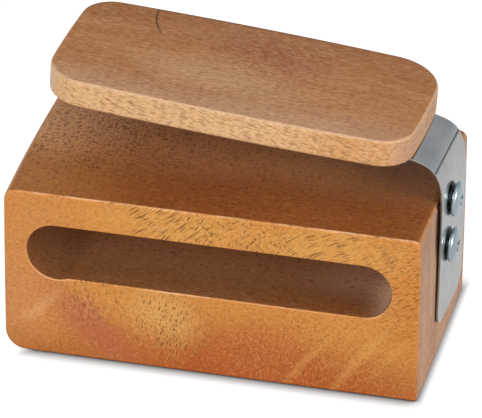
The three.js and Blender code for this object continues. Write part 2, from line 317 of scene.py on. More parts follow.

# %% [markdown]
# ## Screws
# All four screws are pan heads with a cross recess. One screw of each size is made standing
# up: a cylinder is the shank, its lower cap is drawn to a point, and its upper cap is widened
# to the head's underside, raised for the rim, and raised and narrowed again and again for the
# dome. The underside's outer edge is rounded, and its flat is marked for painted crevice
# shade. A tapered bar cuts the recess twice, the second time a quarter turn on.

# %% Pan head screw
def pan_head_screw(name, head_radius, head_height, rim_height, shank_radius, shank_length,
                   tip_length, recess_span, recess_floor_span, recess_width, recess_depth):
    """A screw along +Z whose head starts at height 0."""
    straight = shank_length - tip_length
    screw = begin(name, bpy.ops.mesh.primitive_cylinder_add, vertices=64, radius=shank_radius,
                  depth=straight, location=(0, 0, -straight / 2))
    pick("FACE", lambda f: f.normal.z < -0.9)
    bpy.ops.mesh.extrude_region_move(TRANSFORM_OT_translate={"value": (0, 0, -tip_length)})
    bpy.ops.transform.resize(value=(0.02, 0.02, 1), center_override=(0, 0, 0))
    pick("FACE", lambda f: f.normal.z > 0.9)
    bpy.ops.mesh.extrude_region_move()
    widen = head_radius / shank_radius
    bpy.ops.transform.resize(value=(widen, widen, 1), center_override=(0, 0, 0))
    bpy.ops.mesh.extrude_region_move(TRANSFORM_OT_translate={"value": (0, 0, rim_height)})
    steps = 14
    for step in range(steps):
        angles = [math.pi / 2 * s / steps for s in (step, step + 1)]
        rise = (head_height - rim_height) * (math.sin(angles[1]) - math.sin(angles[0]))
        narrow = max(math.cos(angles[1]), 0.01) / max(math.cos(angles[0]), 0.01)
        bpy.ops.mesh.extrude_region_move(TRANSFORM_OT_translate={"value": (0, 0, rise)})
        bpy.ops.transform.resize(value=(narrow, narrow, 1), center_override=(0, 0, 0))
    pick("EDGE", lambda e: both_ends(
        e, lambda c: abs(c.z) < hair and c.xy.length > head_radius - hair))
    bpy.ops.mesh.bevel(offset=0.75 * rim_height, segments=5, affect="EDGES")
    # The underside's flat is marked for painted crevice shade.
    pick("FACE", lambda f: abs(f.calc_center_median().z) < hair and f.normal.z < -0.9
         and f.calc_center_median().xy.length > shank_radius + hair)
    mark(screw, "crevice_shade")
    for quarter in (0, 1):
        wing = begin("wing", bpy.ops.mesh.primitive_cube_add, size=1,
                     location=(0, 0, head_height),
                     scale=(recess_span, recess_width, 2 * recess_depth))
        pick("FACE", lambda f: f.normal.z < -0.9)
        taper = recess_floor_span / recess_span
        bpy.ops.transform.resize(value=(taper, 1, 1), center_override=(0, 0, 0))
        bpy.ops.mesh.select_all(action="SELECT")
        bpy.ops.transform.rotate(value=math.radians(45 + 90 * quarter), orient_axis="Z",
                                 center_override=(0, 0, 0))
        cut(screw, wing)
    apply_modifier(screw, "BEVEL", width=0.08 * mm, segments=2, limit_method="ANGLE",
                   angle_limit=math.radians(40))
    smooth(screw)
    print(name, len(screw.data.polygons), "faces")
    return screw


end_screw = pan_head_screw(
    "standing_end_screw", head_radius=6 * mm, head_height=2.385 * mm, rim_height=0.7 * mm,
    shank_radius=2.4 * mm, shank_length=26 * mm, tip_length=5 * mm, recess_span=5.6 * mm,
    recess_floor_span=2.6 * mm, recess_width=1.5 * mm, recess_depth=1.8 * mm)
clapper_screw = pan_head_screw(
    "standing_clapper_screw", head_radius=4 * mm, head_height=2 * mm, rim_height=0.5 * mm,
    shank_radius=1.75 * mm, shank_length=8.4 * mm, tip_length=2 * mm, recess_span=3.8 * mm,
    recess_floor_span=1.8 * mm, recess_width=1 * mm, recess_depth=1.2 * mm)

# %% [markdown]
# Each screw is then laid into its place. The two end screws point out of the block's right
# end, turned with the strip and leaning a little, because they were driven by hand. The two
# clapper screws come up through the strip's arm into the board, so their heads hang below it.
# The way that each was turned and moved is kept, because its holes are drilled along it.

# %% Screws in their places
strip_turn = math.radians(-2.7)
arm_tilt = math.radians(3.1)
screws, lines = [], []
for standing, name, node, tip_over in (
    (end_screw, "upper_end_screw", "end_screw_upper", math.radians(93)),
    (end_screw, "lower_end_screw", "end_screw_lower", math.radians(91.8)),
    (clapper_screw, "outer_clapper_screw", "clapper_screw_outer", math.pi + arm_tilt),
    (clapper_screw, "inner_clapper_screw", "clapper_screw_inner", math.pi + arm_tilt),
):
    screw = standing.copy()
    screw.data = standing.data.copy()
    screw.name = screw.data.name = name
    bpy.context.scene.collection.objects.link(screw)
    tipped = Matrix.Rotation(strip_turn, 4, "Z") @ Matrix.Rotation(tip_over, 4, "Y")
    screw.data.transform(tipped)
    lines.append(Matrix.Translation(seat_on(screw, node)) @ tipped)
    screws.append(screw)
upper_screw, lower_screw, outer_screw, inner_screw = screws
end_lines, clapper_lines = lines[:2], lines[2:]
for standing in (end_screw, clapper_screw):
    bpy.data.objects.remove(standing)


def drill(piece, line, radius, deep):
    """Bores along a screw's line, from a little above its head's underside."""
    above = 3 * mm
    borer = begin("borer", bpy.ops.mesh.primitive_cylinder_add, vertices=48, radius=radius,
                  depth=deep + above, location=(0, 0, (above - deep) / 2))
    bpy.ops.object.mode_set(mode="OBJECT")
    borer.data.transform(line)
    cut(piece, borer)


for line in end_lines:
    drill(block, line, radius=2.7 * mm, deep=26.3 * mm)
smooth(block)
print("block:", len(block.data.polygons), "faces")

# %% [markdown]
# ## The spring strip
# The real strip is blanked from thin spring steel, drilled, and bent over a former. The same
# is done here in the order of the bends. A short edge stands for the blank's lower end. Spun
# about the centre of each bend it leaves a curved sheet behind it, and extruded it leaves a
# flat one. The strip is drawn in its own upright plane first and turned into place at the end.

# %% Strip: the bent sheet
strip_width, strip_thickness = 31.6 * mm, 0.6 * mm
strip_foot, plate_length, plate_bow = 13 * mm, 44.3 * mm, 1.3
arm_part = 13 * mm  # the arm is three of these long
strip = begin("strip", bpy.ops.mesh.primitive_plane_add, size=strip_width,
              location=(0, 0, strip_foot))
pick("VERT", lambda v: v.co.x > 0)
bpy.ops.mesh.delete(type="VERT")
bpy.ops.mesh.select_all(action="SELECT")
bpy.ops.transform.translate(value=(strip_width / 2, 0, 0))
strip_end, heading = Vector((0, 0, strip_foot)), math.radians(-plate_bow)
bends = (  # radius, turn in degrees, steps
    (plate_length / math.radians(plate_bow), plate_bow, 6),
    (66 * mm, 7, 6),
    (14 * mm, 28, 16),
    (8 * mm, 30, 20),
    (22 * mm, 90 - 3.1 - 7 - 28 - 30, 14),
)
for radius, degrees, steps in bends:
    centre = strip_end - radius * Vector((math.cos(heading), 0, math.sin(heading)))
    angle = math.radians(degrees)
    bpy.ops.mesh.spin(steps=steps, angle=angle, center=centre, axis=(0, 1, 0))
    heading += angle
    strip_end = centre + radius * Vector((math.cos(heading), 0, math.sin(heading)))
arm_start = strip_end.copy()
for _ in range(3):
    step = arm_part * Vector((-math.sin(heading), 0, math.cos(heading)))
    bpy.ops.mesh.extrude_region_move(TRANSFORM_OT_translate={"value": step})
    strip_end += step
bpy.ops.mesh.select_all(action="SELECT")
bpy.ops.mesh.remove_doubles(threshold=hair / 4)
print("strip ends at, mm:", [round(c / mm, 2) for c in strip_end])

# %% [markdown]
# The blank's four corners are rounded by bevelling their vertices. The lower back one is
# rounder than the others in the photograph, so it comes first, on its own. The sheet then
# gets its thickness inwards, so that the outer face stays where the bends were measured. It
# is turned into place before it is drilled, because the screws' lines are known there.

# %% Strip: corners, thickness, place and holes
corner_radius, back_corner_radius = 5.6 * mm, 9 * mm
corner_rows = (Vector((0, 0, strip_foot)), strip_end)


def at_row(vertex, row):
    """Whether a vertex lies on a row across the strip."""
    return (Vector((vertex.co.x, 0, vertex.co.z)) - row).length < hair


corners = pick("VERT", lambda v: v.co.y > strip_width / 2 - hair and at_row(v, corner_rows[0]))
bpy.ops.mesh.bevel(offset=back_corner_radius, segments=14, affect="VERTICES")
corners += pick("VERT", lambda v: abs(abs(v.co.y) - strip_width / 2) < hair
                and any(at_row(v, row) for row in corner_rows))
bpy.ops.mesh.bevel(offset=corner_radius, segments=10, affect="VERTICES")
bpy.ops.mesh.select_all(action="SELECT")
bpy.ops.mesh.normals_make_consistent(inside=False)
bpy.ops.object.mode_set(mode="OBJECT")
apply_modifier(strip, "SOLIDIFY", thickness=strip_thickness, offset=-1)
strip_place = (71.94 * mm, 2.8 * mm, 0)
into_place = Matrix.Translation(strip_place) @ Matrix.Rotation(strip_turn, 4, "Z")
strip.data.transform(into_place)
seat_on(strip, "spring_strip")
for line in end_lines:
    drill(strip, line, radius=3 * mm, deep=3 * mm)
for line in clapper_lines:
    drill(strip, line, radius=2.05 * mm, deep=3 * mm)
apply_modifier(strip, "BEVEL", width=0.12 * mm, segments=2, limit_method="ANGLE",
               angle_limit=math.radians(50))
smooth(strip)
print("strip:", corners, "corners rounded,", len(strip.data.polygons), "faces")

# %% [markdown]
# ## The clapper
# The clapper is a thin board with slightly swollen sides and corners that were rounded by
# hand on a sander. It is made lying on the arm, in the arm's own plane, from a flat box. Its
# corners are bevelled first. Each side is then divided, its points are pushed out furthest at
# the middle, and the edges all round are broken by a bevel.

# %% Clapper
board_length, board_width, board_thickness = 125 * mm, 57.59 * mm, 9.8 * mm
board_end, board_offset, arm_gap = 3.7 * mm, 2.6 * mm, 0.3 * mm
board_middle = Vector((
    board_end - board_length / 2, board_offset, arm_gap + board_thickness / 2))
clapper = begin("clapper", bpy.ops.mesh.primitive_cube_add, size=1,
                scale=(board_length, board_width, board_thickness))
for end, side, radius in ((-1, -1, 14.5), (1, -1, 11.5), (1, 1, 19), (-1, 1, 11)):
    pick("EDGE", lambda e: both_ends(
        e, lambda c: abs(c.x * end - board_length / 2) < hair
        and abs(c.y * side - board_width / 2) < hair))
    bpy.ops.mesh.bevel(offset=radius * mm, segments=16, affect="EDGES")
cuts = 11
for along, across, reach, swell in (
    (0, 1, board_width / 2, 1 * mm), (1, 0, board_length / 2, 0.3 * mm),
):
    for side in (-1, 1):
        pick("EDGE", lambda e: both_ends(e, lambda c: abs(c[across] * side - reach) < hair)
             and abs(e.verts[0].co[along] - e.verts[1].co[along]) > 20 * mm)
        bpy.ops.mesh.subdivide(number_cuts=cuts)
        points = bmesh.from_edit_mesh(clapper.data).verts
        spots = [v.co[along] for v in points if abs(v.co[across] * side - reach) < hair]
        start, stop = min(spots), max(spots)
        for row in range(1, cuts + 1):
            share = row / (cuts + 1)
            spot = start + (stop - start) * share
            pick("VERT", lambda v: abs(v.co[across] * side - reach) < hair
                 and abs(v.co[along] - spot) < hair)
            push = [0, 0, 0]
            push[across] = side * swell * 4 * share * (1 - share)
            bpy.ops.transform.translate(value=push)
print("clapper edges:", pick("EDGE", lambda e: abs(e.verts[0].co.z - e.verts[1].co.z) < hair))
bpy.ops.mesh.bevel(offset=1.1 * mm, segments=5, affect="EDGES")
bpy.ops.mesh.select_all(action="SELECT")
bpy.ops.transform.translate(value=board_middle)
bpy.ops.object.mode_set(mode="OBJECT")
arm_place = Matrix.Rotation(strip_turn, 4, "Z") @ Matrix.Rotation(arm_tilt, 4, "Y")
clapper.data.transform(arm_place)
seat_on(clapper, "clapper_board")
for line in clapper_lines:
    drill(clapper, line, radius=2.05 * mm, deep=8.7 * mm)
smooth(clapper)
print("clapper:", len(clapper.data.polygons), "faces")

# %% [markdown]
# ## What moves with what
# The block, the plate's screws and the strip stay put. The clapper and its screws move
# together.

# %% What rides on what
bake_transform(strip)
pieces = (
    (block, "block", "block_body", "block_wood"),
    (upper_screw, "block", "end_screw_upper", "plated_screws"),
    (lower_screw, "block", "end_screw_lower", "plated_screws"),
    (clapper, "clapper", "clapper_board", "clapper_wood"),
    (outer_screw, "clapper", "clapper_screw_outer", "plated_screws"),
    (inner_screw, "clapper", "clapper_screw_inner", "plated_screws"),
)
for piece, body, node, slot in pieces:
    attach(piece, body)
    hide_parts(node)
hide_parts("spring_strip")

# %% [markdown]
# ## Colours and nodes
# Colours are written as in a picture, and a shader wants them as amounts of light. A finish
# is a small net of nodes, and each node is added with its settings and its links in one go.
# Every pattern reads the object's own places in millimetres, so that it stays on the piece
# when the camera or the piece moves.

# %% Colour and node
def light_of(colour):
    """The linear amounts of light for a colour written as six hex digits."""
    parts = [int(colour[i:i + 2], 16) / 255 for i in (0, 2, 4)]
    return (*[p / 12.92 if p <= 0.04045 else ((p + 0.055) / 1.055) ** 2.4 for p in parts], 1)


def add_node(tree, kind, inputs=None, **settings):
    """Adds a shader node, with its settings, and its inputs set to values or linked."""
    node = tree.nodes.new("ShaderNode" + kind)
    for name, value in settings.items():
        setattr(node, name, value)
    for key, value in (inputs or {}).items():
        if isinstance(value, bpy.types.NodeSocket):
            tree.links.new(value, node.inputs[key])
        else:
            node.inputs[key].default_value = value
    return node


def empty_net(name):
    """A new material with an empty net of nodes."""
    material = bpy.data.materials.new(name)
    material.use_nodes = True
    material.node_tree.nodes.clear()
    return material, material.node_tree


def new_finish(name):
    """An empty material, its net, and places on the object in millimetres."""
    material, tree = empty_net(name)
    seen = add_node(tree, "TexCoord").outputs["Object"]
    place = add_node(tree, "VectorMath", {0: seen, 3: 1 / mm}, operation="SCALE").outputs[0]
    return material, tree, place


# %% [markdown]
# ## Wood
# Wood shows three things at this distance: a figure of broad soft tones, dark pores that look
# like short dashes where the grain runs along the surface, and a dull oiled shine. A painted
# picture would fit one face only. Patterns in three dimensions run through the whole piece,
# so they are set up here, in millimetres on the object, and used for both pieces of wood.
# Each gives a share from 0 to 1, and shares are multiplied where they have to meet. Real
# pores are 0.1 to 0.2 mm wide, less than one dot of the picture, so they are drawn twice as
# wide.

# %% Figure, patches and faces
def figure(tree, place, low, high, size=None, middle=(0, 0, 0), turn=0, fine=3):
    """Blotches of a size in mm, turned about Z: 0 where the noise is under low, 1 over high."""
    if size:
        place = add_node(tree, "Mapping", {
            0: place, "Location": middle, "Rotation": (0, 0, turn), "Scale": size},
            vector_type="TEXTURE").outputs[0]
    noise = add_node(tree, "TexNoise", {
        "Vector": place, "Scale": 1, "Detail": fine, "Roughness": 0.6})
    return add_node(tree, "MapRange", {0: noise.outputs[0], 1: low, 2: high},
                    interpolation_type="SMOOTHSTEP").outputs[0]


def patch(tree, place, middle, size, turn=(0, 0, 0), strength=1, soft=1):
    """Full strength at a middle in mm, fading to nothing one size away, turned in degrees."""
    around = add_node(tree, "Mapping", {
        0: place, "Location": middle, "Rotation": [math.radians(a) for a in turn],
        "Scale": size}, vector_type="TEXTURE")
    ball = add_node(tree, "TexGradient", {0: around.outputs[0]}, gradient_type="SPHERICAL")
    return add_node(tree, "MapRange", {0: ball.outputs[1], 1: 0, 2: soft, 4: strength},
                    interpolation_type="SMOOTHSTEP").outputs[0]


def beyond(tree, place, axis, start, full, strength=1):
    """Nothing up to a start in mm along an axis, full strength from another place on."""
    along = add_node(tree, "SeparateXYZ", {0: place}).outputs[axis]
    return add_node(tree, "MapRange", {0: along, 1: start, 2: full, 4: strength},
                    interpolation_type="SMOOTHSTEP").outputs[0]


def times(tree, *shares):
    """What several shares have in common."""
    common = shares[0]
    for share in shares[1:]:
        common = add_node(tree, "Math", {0: common, 1: share}, operation="MULTIPLY").outputs[0]
    return common


def within(tree, place, low, high, edge):
    """Full inside a box between two corners in mm, nothing one edge outside it."""
    axes = range(3)
    return times(
        tree, *(beyond(tree, place, axis, low[axis] - edge, low[axis]) for axis in axes),
        *(beyond(tree, place, axis, high[axis] + edge, high[axis]) for axis in axes))


# %% [markdown]
# Grain is never quite straight, so the places that a pattern reads wander a little. The pores
# come from a pattern of cells, stretched along the grain: each cell holds one dash, and its
# random tone says how large the dash is and whether it is kept.

# %% Grain, stains and oil
def wandering(tree, place, every, reach):
    """Places that wander by up to half a reach in mm, so that straight patterns curve."""
    noise = add_node(tree, "TexNoise", {"Vector": place, "Scale": 1 / every, "Detail": 2})
    sway = add_node(tree, "VectorMath", {0: noise.outputs["Color"], 1: (0.5, 0.5, 0.5)},
                    operation="SUBTRACT").outputs[0]
    return add_node(tree, "VectorMath", {0: sway, 1: reach, 2: place},
                    operation="MULTIPLY_ADD").outputs[0]


def pores(tree, place, fill, where, scale=1):
    """Dashes on a face, one to a step along and across it. Fill is the share that is kept."""
    cells = add_node(tree, "TexVoronoi", {"Vector": place, "Scale": scale},
                     voronoi_dimensions="2D")
    spread = add_node(tree, "Math", {0: cells.outputs["Distance"], 1: cells.outputs["Color"]},
                      operation="DIVIDE")
    dash = add_node(tree, "MapRange", {0: spread.outputs[0], 1: 0.75, 2: 0.25},
                    interpolation_type="SMOOTHSTEP").outputs[0]
    tone = add_node(tree, "SeparateColor", {0: cells.outputs["Color"]}).outputs[0]
    kept = add_node(tree, "Math", {0: tone, 1: fill}, operation="LESS_THAN")
    return times(tree, dash, kept.outputs[0], where)


def stained(tree, ground, *stains):
    """A ground with stains laid over it in turn, each where all its shares meet."""
    colour = light_of(ground) if isinstance(ground, str) else ground
    for stain, *shares in stains:
        colour = add_node(tree, "Mix", {
            0: times(tree, *shares), 6: colour, 7: light_of(stain)}, data_type="RGBA").outputs[2]
    return colour


def grained(tree, colour, dents, bent, place, face, zones, pale="eeb468", dark="55290e"):
    """A colour and its dents with the fibres and pores of zones of a face laid over them."""
    for middle, reach, turn, size, fill, strength in zones:
        here = times(tree, patch(tree, place, middle, reach, strength=strength, soft=0.6), face)
        along = add_node(tree, "Mapping", {
            0: bent, "Rotation": [math.radians(a) for a in turn], "Scale": (*size, 1)},
            vector_type="TEXTURE").outputs[0]
        dashes = pores(tree, along, fill, here)
        colour = stained(
            tree, colour, (pale, figure(tree, along, 0.46, 0.68), here, 0.6),
            (dark, pores(tree, along, 0.55, here, scale=2.2), 0.45), (dark, dashes))
        dents = add_node(tree, "Math", {0: dashes, 1: dents}, operation="MAXIMUM").outputs[0]
    return colour, dents


def oiled(tree, colour, dents, roughness, uneven):
    """The dull shine of oil over a colour, with an uneven roughness and dented pores."""
    rough = add_node(tree, "MapRange", {0: uneven, 3: roughness - 0.07, 4: roughness + 0.07})
    bump = add_node(tree, "Bump", {"Strength": 0.3, "Distance": 0.1 * mm, "Height": dents},
                    invert=True)
    shader = add_node(tree, "BsdfPrincipled", {
        "Base Color": colour, "Roughness": rough.outputs[0], "Normal": bump.outputs[0],
        "Specular IOR Level": 0.2})
    add_node(tree, "OutputMaterial", {0: shader.outputs[0]})


# %% [markdown]
# ## The block's finish
# The wood is sanded but not filled, so the oil brings out every pore. Each face has its own
# tone: golden in front, brown on top, pinkish on the sawn ends, and darker inside the slot.
# The gold in front and the brown on top are partly the wood's own and partly painted light and
# shade, the front painted brighter and the top darker. The tones are laid over one another as
# soft patches. On the top, painted shade of the clapper darkens its back right and the middle
# of its front. Inside the slot, painted light brightens the right cap and the right of the
# floor, and the slot darkens towards its mouth. Under the strip and beside its front edge the
# end is painted nearly black: painted shade of the gap.

# %% Block finish: tones of its top, ends and slot
block_oil, tree, place = new_finish("oiled_hardwood_block")
bent = wandering(tree, place, every=22, reach=(9, 5, 9))
streaks = figure(tree, bent, 0.42, 0.7, size=(40, 3, 3), fine=4)
broad = figure(tree, bent, 0.4, 0.66, size=(30, 22, 18), fine=2)
colour = stained(tree, "c88a52", ("ad6c38", streaks), ("d2945a", broad, 0.5))

top = beyond(tree, place, 2, 60.1, 60.8)
to_left, to_back = beyond(tree, bent, 0, -14, -66), beyond(tree, bent, 1, -22, 0)
# Painted shade of the clapper: the top is painted darker at its back right, where the clapper
# comes closest, and in the middle of its front, where the tone is partly the wood's own.
clapper_shade_right = times(tree, beyond(tree, bent, 0, 20, 60), beyond(tree, bent, 1, -24, -6))
# The top's brown is partly its own tone and partly painted shade, the top being painted darker
# than the front.
colour = stained(
    tree, colour, ("844210", top, 0.92),
    ("b07236", top, to_left, 0.75),
    ("d2925a", top, to_back, 0.65),
    ("e2aa76", top, patch(tree, bent, (-62, 8, 61), (36, 30, 9)), 0.8),
    ("7c4824", top, clapper_shade_right, 0.5),
    ("7a3a0a", top, patch(tree, bent, (-6, -28, 61), (36, 16, 9)), 0.6))

right_end, left_end = beyond(tree, place, 0, 69.4, 70), beyond(tree, place, 0, -69.4, -70.1)
end_figure = figure(tree, bent, 0.42, 0.6, size=(9, 5, 50))
# Painted shade of the gap: the end is painted nearly black under the strip and beside its front
# edge.
shade_under_strip = within(tree, place, (69, -13.4, 16), (73, 18.4, 61), edge=0.9)
shade_beside_strip = patch(
    tree, place, (71, -13.4, 50), (4, 3.6, 10.6), strength=0.95, soft=0.3)
colour = stained(
    tree, colour, ("d19f7c", right_end, 0.9),
    ("ae8064", right_end, beyond(tree, place, 2, 34, 56), 0.55),
    ("a87c68", right_end, end_figure, 0.5),
    ("1c0f08", right_end, shade_under_strip, 0.95), ("1c0f08", shade_beside_strip),
    ("cfa27c", left_end, 0.7))

slot = within(tree, place, (-64, -38.6, 28.5), (63, -3, 50.5), edge=0.4)
slot_front = beyond(tree, bent, 1, -8, -36)
# Painted light: the right of the slot's floor and its right cap are painted lighter, as they face
# the light coming in from the left.
slot_right_painted_light = times(tree, beyond(tree, bent, 0, 16, 54), beyond(tree, bent, 1, -38, -16))
slot_cap_painted_light = patch(tree, bent, (57, -23, 32), (11, 26, 11))
slot_floor = patch(tree, place, (40, -34, 29.6), (34, 18, 4))
colour = stained(
    tree, colour, ("b47e56", slot, 0.9),
    ("7f4a24", slot, slot_front, 0.8),
    ("cba288", slot, slot_right_painted_light, 0.75),
    ("e6bc9a", slot, slot_cap_painted_light),
    ("8a4c1c", slot, slot_floor, 0.7))
print("block finish:", len(tree.nodes), "nodes for its top, ends and slot")

# %% [markdown]
# The front turns redder towards its foot. Its patches are the dark red of the foot, a red
# stain at the left, paler bands above and below the slot, light slanting streaks at both
# sides, and the tones near the ends. A fine speckle and small light flecks break up the flat
# tone between the pores.

# %% Block finish: tones of its front
front = beyond(tree, place, 1, -38.3, -38.9)
# The front's gold is partly its own tone and partly painted light, the front being painted
# brighter than the top.
colour = stained(tree, colour, ("db8d40", front, 0.85),
                 ("a55222", front, beyond(tree, bent, 2, 20, -3), 0.65))
for tone, middle, reach, turn, strength in (
    ("b0501c", (20, -39, -2), (78, 8, 33), 8, 0.95),
    ("bd6430", (16, -39, 8), (30, 8, 20), -20, 0.6),
    ("ba6446", (-42, -39, 14), (31, 8, 12), 38, 0.85),
    ("d08856", (-70, -39, 22), (24, 8, 34), 0, 0.6),
    ("b96a34", (-44, -39, -2), (26, 8, 8), 0, 0.7),
    ("e6a75e", (-16, -39, 20), (17, 8, 17), -60, 0.8),
    ("e3a052", (-12, -39, 55), (52, 8, 11), 0, 0.7),
    ("e3a052", (40, -39, 53), (40, 8, 13), 0, 0.7),
    ("e6a256", (52, -39, 14), (26, 8, 3.2), -52, 0.5),
    ("e6a256", (34, -39, 12), (24, 8, 2.4), -52, 0.35),
    ("e6a256", (63, -39, 16), (18, 8, 2), -52, 0.35),
    ("e6a872", (-60, -39, 18), (16, 8, 3), -40, 0.5),
    ("d08a4e", (-60, -39, 50), (22, 8, 20), 0, 0.6),
    ("cf7c34", (67, -39, 34), (12, 8, 28), 0, 0.6),
):
    blot = patch(tree, bent, middle, reach, (0, turn, 0), strength=strength, soft=0.9)
    colour = stained(tree, colour, (tone, blot, front))
speckle = figure(tree, place, 0.42, 0.68, size=(1.4, 0.8, 0.8), fine=2)
flecks = figure(tree, place, 0.5, 0.7, size=(1.1, 1, 1), middle=(9, 9, 9), fine=2)
colour = stained(tree, colour, ("7a4420", speckle, 0.28),
                 ("f0b878", flecks, front, 0.22))
print("block finish:", len(tree.nodes), "nodes with its front")

# %% [markdown]
# The pores run along the block's length on its top, but in slanting sweeps on its front,
# where the grain dives in and out of the saw cut. So each zone of a face has its own
# direction. The pattern is flat: it is first turned to lie in the face, and then swung to the
# direction of the dashes. A zone gives its middle, its reach, its turns, the length and
# spacing of its dashes, the share of them that is kept, and its strength. Fine pale fibres
# run along with the pores. Only the pores of the top and the front are dented, because a
# finish with many more nodes than this one comes out black. Along the front edge and the
# slot's lower rim the wood is a little paler: partly where a hand has worn the oil, and
# partly a painted highlight.

# %% Block finish: pores and worn edges
all_over = (0, 0, 30), (400, 400, 400)
underside = beyond(tree, place, 2, 0.9, 0.2)
level_faces = add_node(tree, "Math", {0: top, 1: underside}, operation="MAXIMUM").outputs[0]
sawn_ends = add_node(tree, "Math", {0: left_end, 1: right_end}, operation="MAXIMUM").outputs[0]
colour, dents = grained(tree, colour, 0, bent, place, level_faces, (
    (*all_over, (0, 0, 0), (2.2, 0.6), 0.5, 0.7),
    ((-46, 4, 61), (60, 36, 3), (0, 0, 10), (1.5, 0.8), 0.6, 0.85),
), pale="b8793c")
colour, dents = grained(tree, colour, dents, bent, place, front, (
    ((-16, -39, 57), (20, 3, 13), (90, -50, 0), (7, 0.45), 0.4, 0.95),
    ((8, -39, 54), (30, 3, 13), (90, -58, 0), (2.4, 0.5), 0.5, 0.75),
    ((42, -39, 52), (28, 3, 14), (90, -32, 0), (7, 0.45), 0.42, 0.95),
    ((64, -39, 42), (18, 3, 26), (90, -24, 0), (2.2, 0.6), 0.5, 0.6),
    ((-40, -39, 24), (18, 3, 14), (90, -106, 0), (3, 0.6), 0.4, 0.6),
    ((-14, -39, 18), (20, 3, 20), (90, -76, 0), (2.2, 0.6), 0.6, 0.6),
    ((34, -39, 14), (50, 3, 22), (90, -66, 0), (1.3, 0.6), 0.35, 0.4),
))
colour, _ = grained(tree, colour, 0, bent, place, slot, (
    ((0, -18, 36), (120, 60, 60), (0, 0, 0), (2.4, 0.8), 0.5, 0.5),
), pale="c29060")
back = beyond(tree, place, 1, 38.3, 38.9)
colour, _ = grained(tree, colour, 0, bent, place, back, (
    (*all_over, (90, 0, 0), (5, 0.8), 0.45, 0.5),
))
colour, _ = grained(tree, colour, 0, bent, place, sawn_ends, (
    (*all_over, (0, -90, 0), (6, 0.8), 0.4, 0.35),
))
uneven_line = figure(tree, place, 0.36, 0.66, size=(16, 5, 5))
wear_and_highlight = add_node(tree, "Attribute", attribute_name="wear_and_highlight").outputs["Fac"]
# Paler on the marked faces: partly wear, partly a painted highlight on the rounded edges.
colour = stained(tree, colour, ("f4c8a0", wear_and_highlight, uneven_line, 0.5))
oiled(tree, colour, dents, roughness=0.5, uneven=broad)
print("block finish:", len(tree.nodes), "nodes")

# %% [markdown]
# ## The clapper's finish
# The clapper is cut from the same wood along its length. Its finish is laid in the arm's own
# plane, which leans and is turned with the strip, so that one axis is along the board, one
# across it and one up through it. Its sides are paler, partly their own tone and partly
# painted light from the front, and the side of its rounded left end is painted pale grey as
# light that catches it. Its top has soft bands: light in front, brown at the back, and
# reddish left of the middle. One dark hairline, part of a circle, curves over the left end of
# the top.

# %% Clapper finish
clapper_oil, tree, place = new_finish("oiled_hardwood_clapper")
board = add_node(tree, "Mapping", {
    0: place, "Location": (58.26, 3.45, 76.35), "Rotation": (0, arm_tilt, strip_turn)},
    vector_type="TEXTURE").outputs[0]
bent = wandering(tree, board, every=30, reach=(10, 10, 4))
streaks = figure(tree, bent, 0.42, 0.7, size=(36, 2.6, 3), fine=4)
bands = figure(tree, bent, 0.4, 0.62, size=(60, 11, 9), fine=2)
speckle = figure(tree, board, 0.42, 0.68, size=(1.8, 0.6, 0.6), fine=2)
flecks = figure(tree, board, 0.5, 0.7, size=(2.4, 0.8, 0.8), middle=(9, 9, 9), fine=2)
side, flat = beyond(tree, board, 2, 9.9, 9.2), beyond(tree, board, 2, 9.3, 9.8)

round_about = add_node(tree, "Mapping", {
    0: board, "Location": (-72.5, 31, 0), "Scale": (1, 1, 1e4)}, vector_type="TEXTURE")
arc = add_node(tree, "VectorMath", {0: round_about.outputs[0]},
               operation="LENGTH").outputs["Value"]
outside, inside = (
    add_node(tree, "MapRange", {0: arc, 1: nothing, 2: full},
             interpolation_type="SMOOTHSTEP").outputs[0]
    for nothing, full in ((24.3, 24.75), (25.5, 25)))
near_end = patch(tree, board, (-96.5, 27, 10), (12, 14, 6), soft=0.4)
hairline = times(tree, outside, inside, near_end)

light_band = patch(tree, bent, (-66, -6, 10), (52, 15, 16), (0, 0, -8), strength=0.7)
red_band = patch(tree, bent, (-52, 14, 10), (30, 16, 16), (0, 0, -14), strength=0.85)
# Painted light: the sides are painted paler partly as lit from the front, and the left end's side
# pale grey.
colour = stained(
    tree, "ba7d4a", ("94592e", streaks, 0.5), ("a4693a", bands, 0.5),
    ("c99c70", flat, light_band),
    ("d0a888", flat, beyond(tree, bent, 1, -8, -26, 0.5)),
    ("965c34", beyond(tree, bent, 1, 6, 31, 0.7)), ("94502f", red_band),
    ("efbf8a", side, 0.9),
    ("dc9c5c", side, beyond(tree, bent, 0, -46, -14, 0.7)),
    ("cda083", side, beyond(tree, board, 0, -6, 2, 0.8)),
    ("dccdbe", side, beyond(tree, board, 0, -115, -121, 0.6)),
    ("6e3f1c", speckle, 0.35), ("e8c08c", flecks, 0.18))
print("clapper finish:", len(tree.nodes), "nodes for its tones")

# %% [markdown]
# Its pores are about 3 mm long and lie along the board on all its long faces. Across its two
# ends they are cut short. The rim of its top is a little paler, partly from handling and
# partly as a painted highlight on its rounding, and the back of the board is darker.

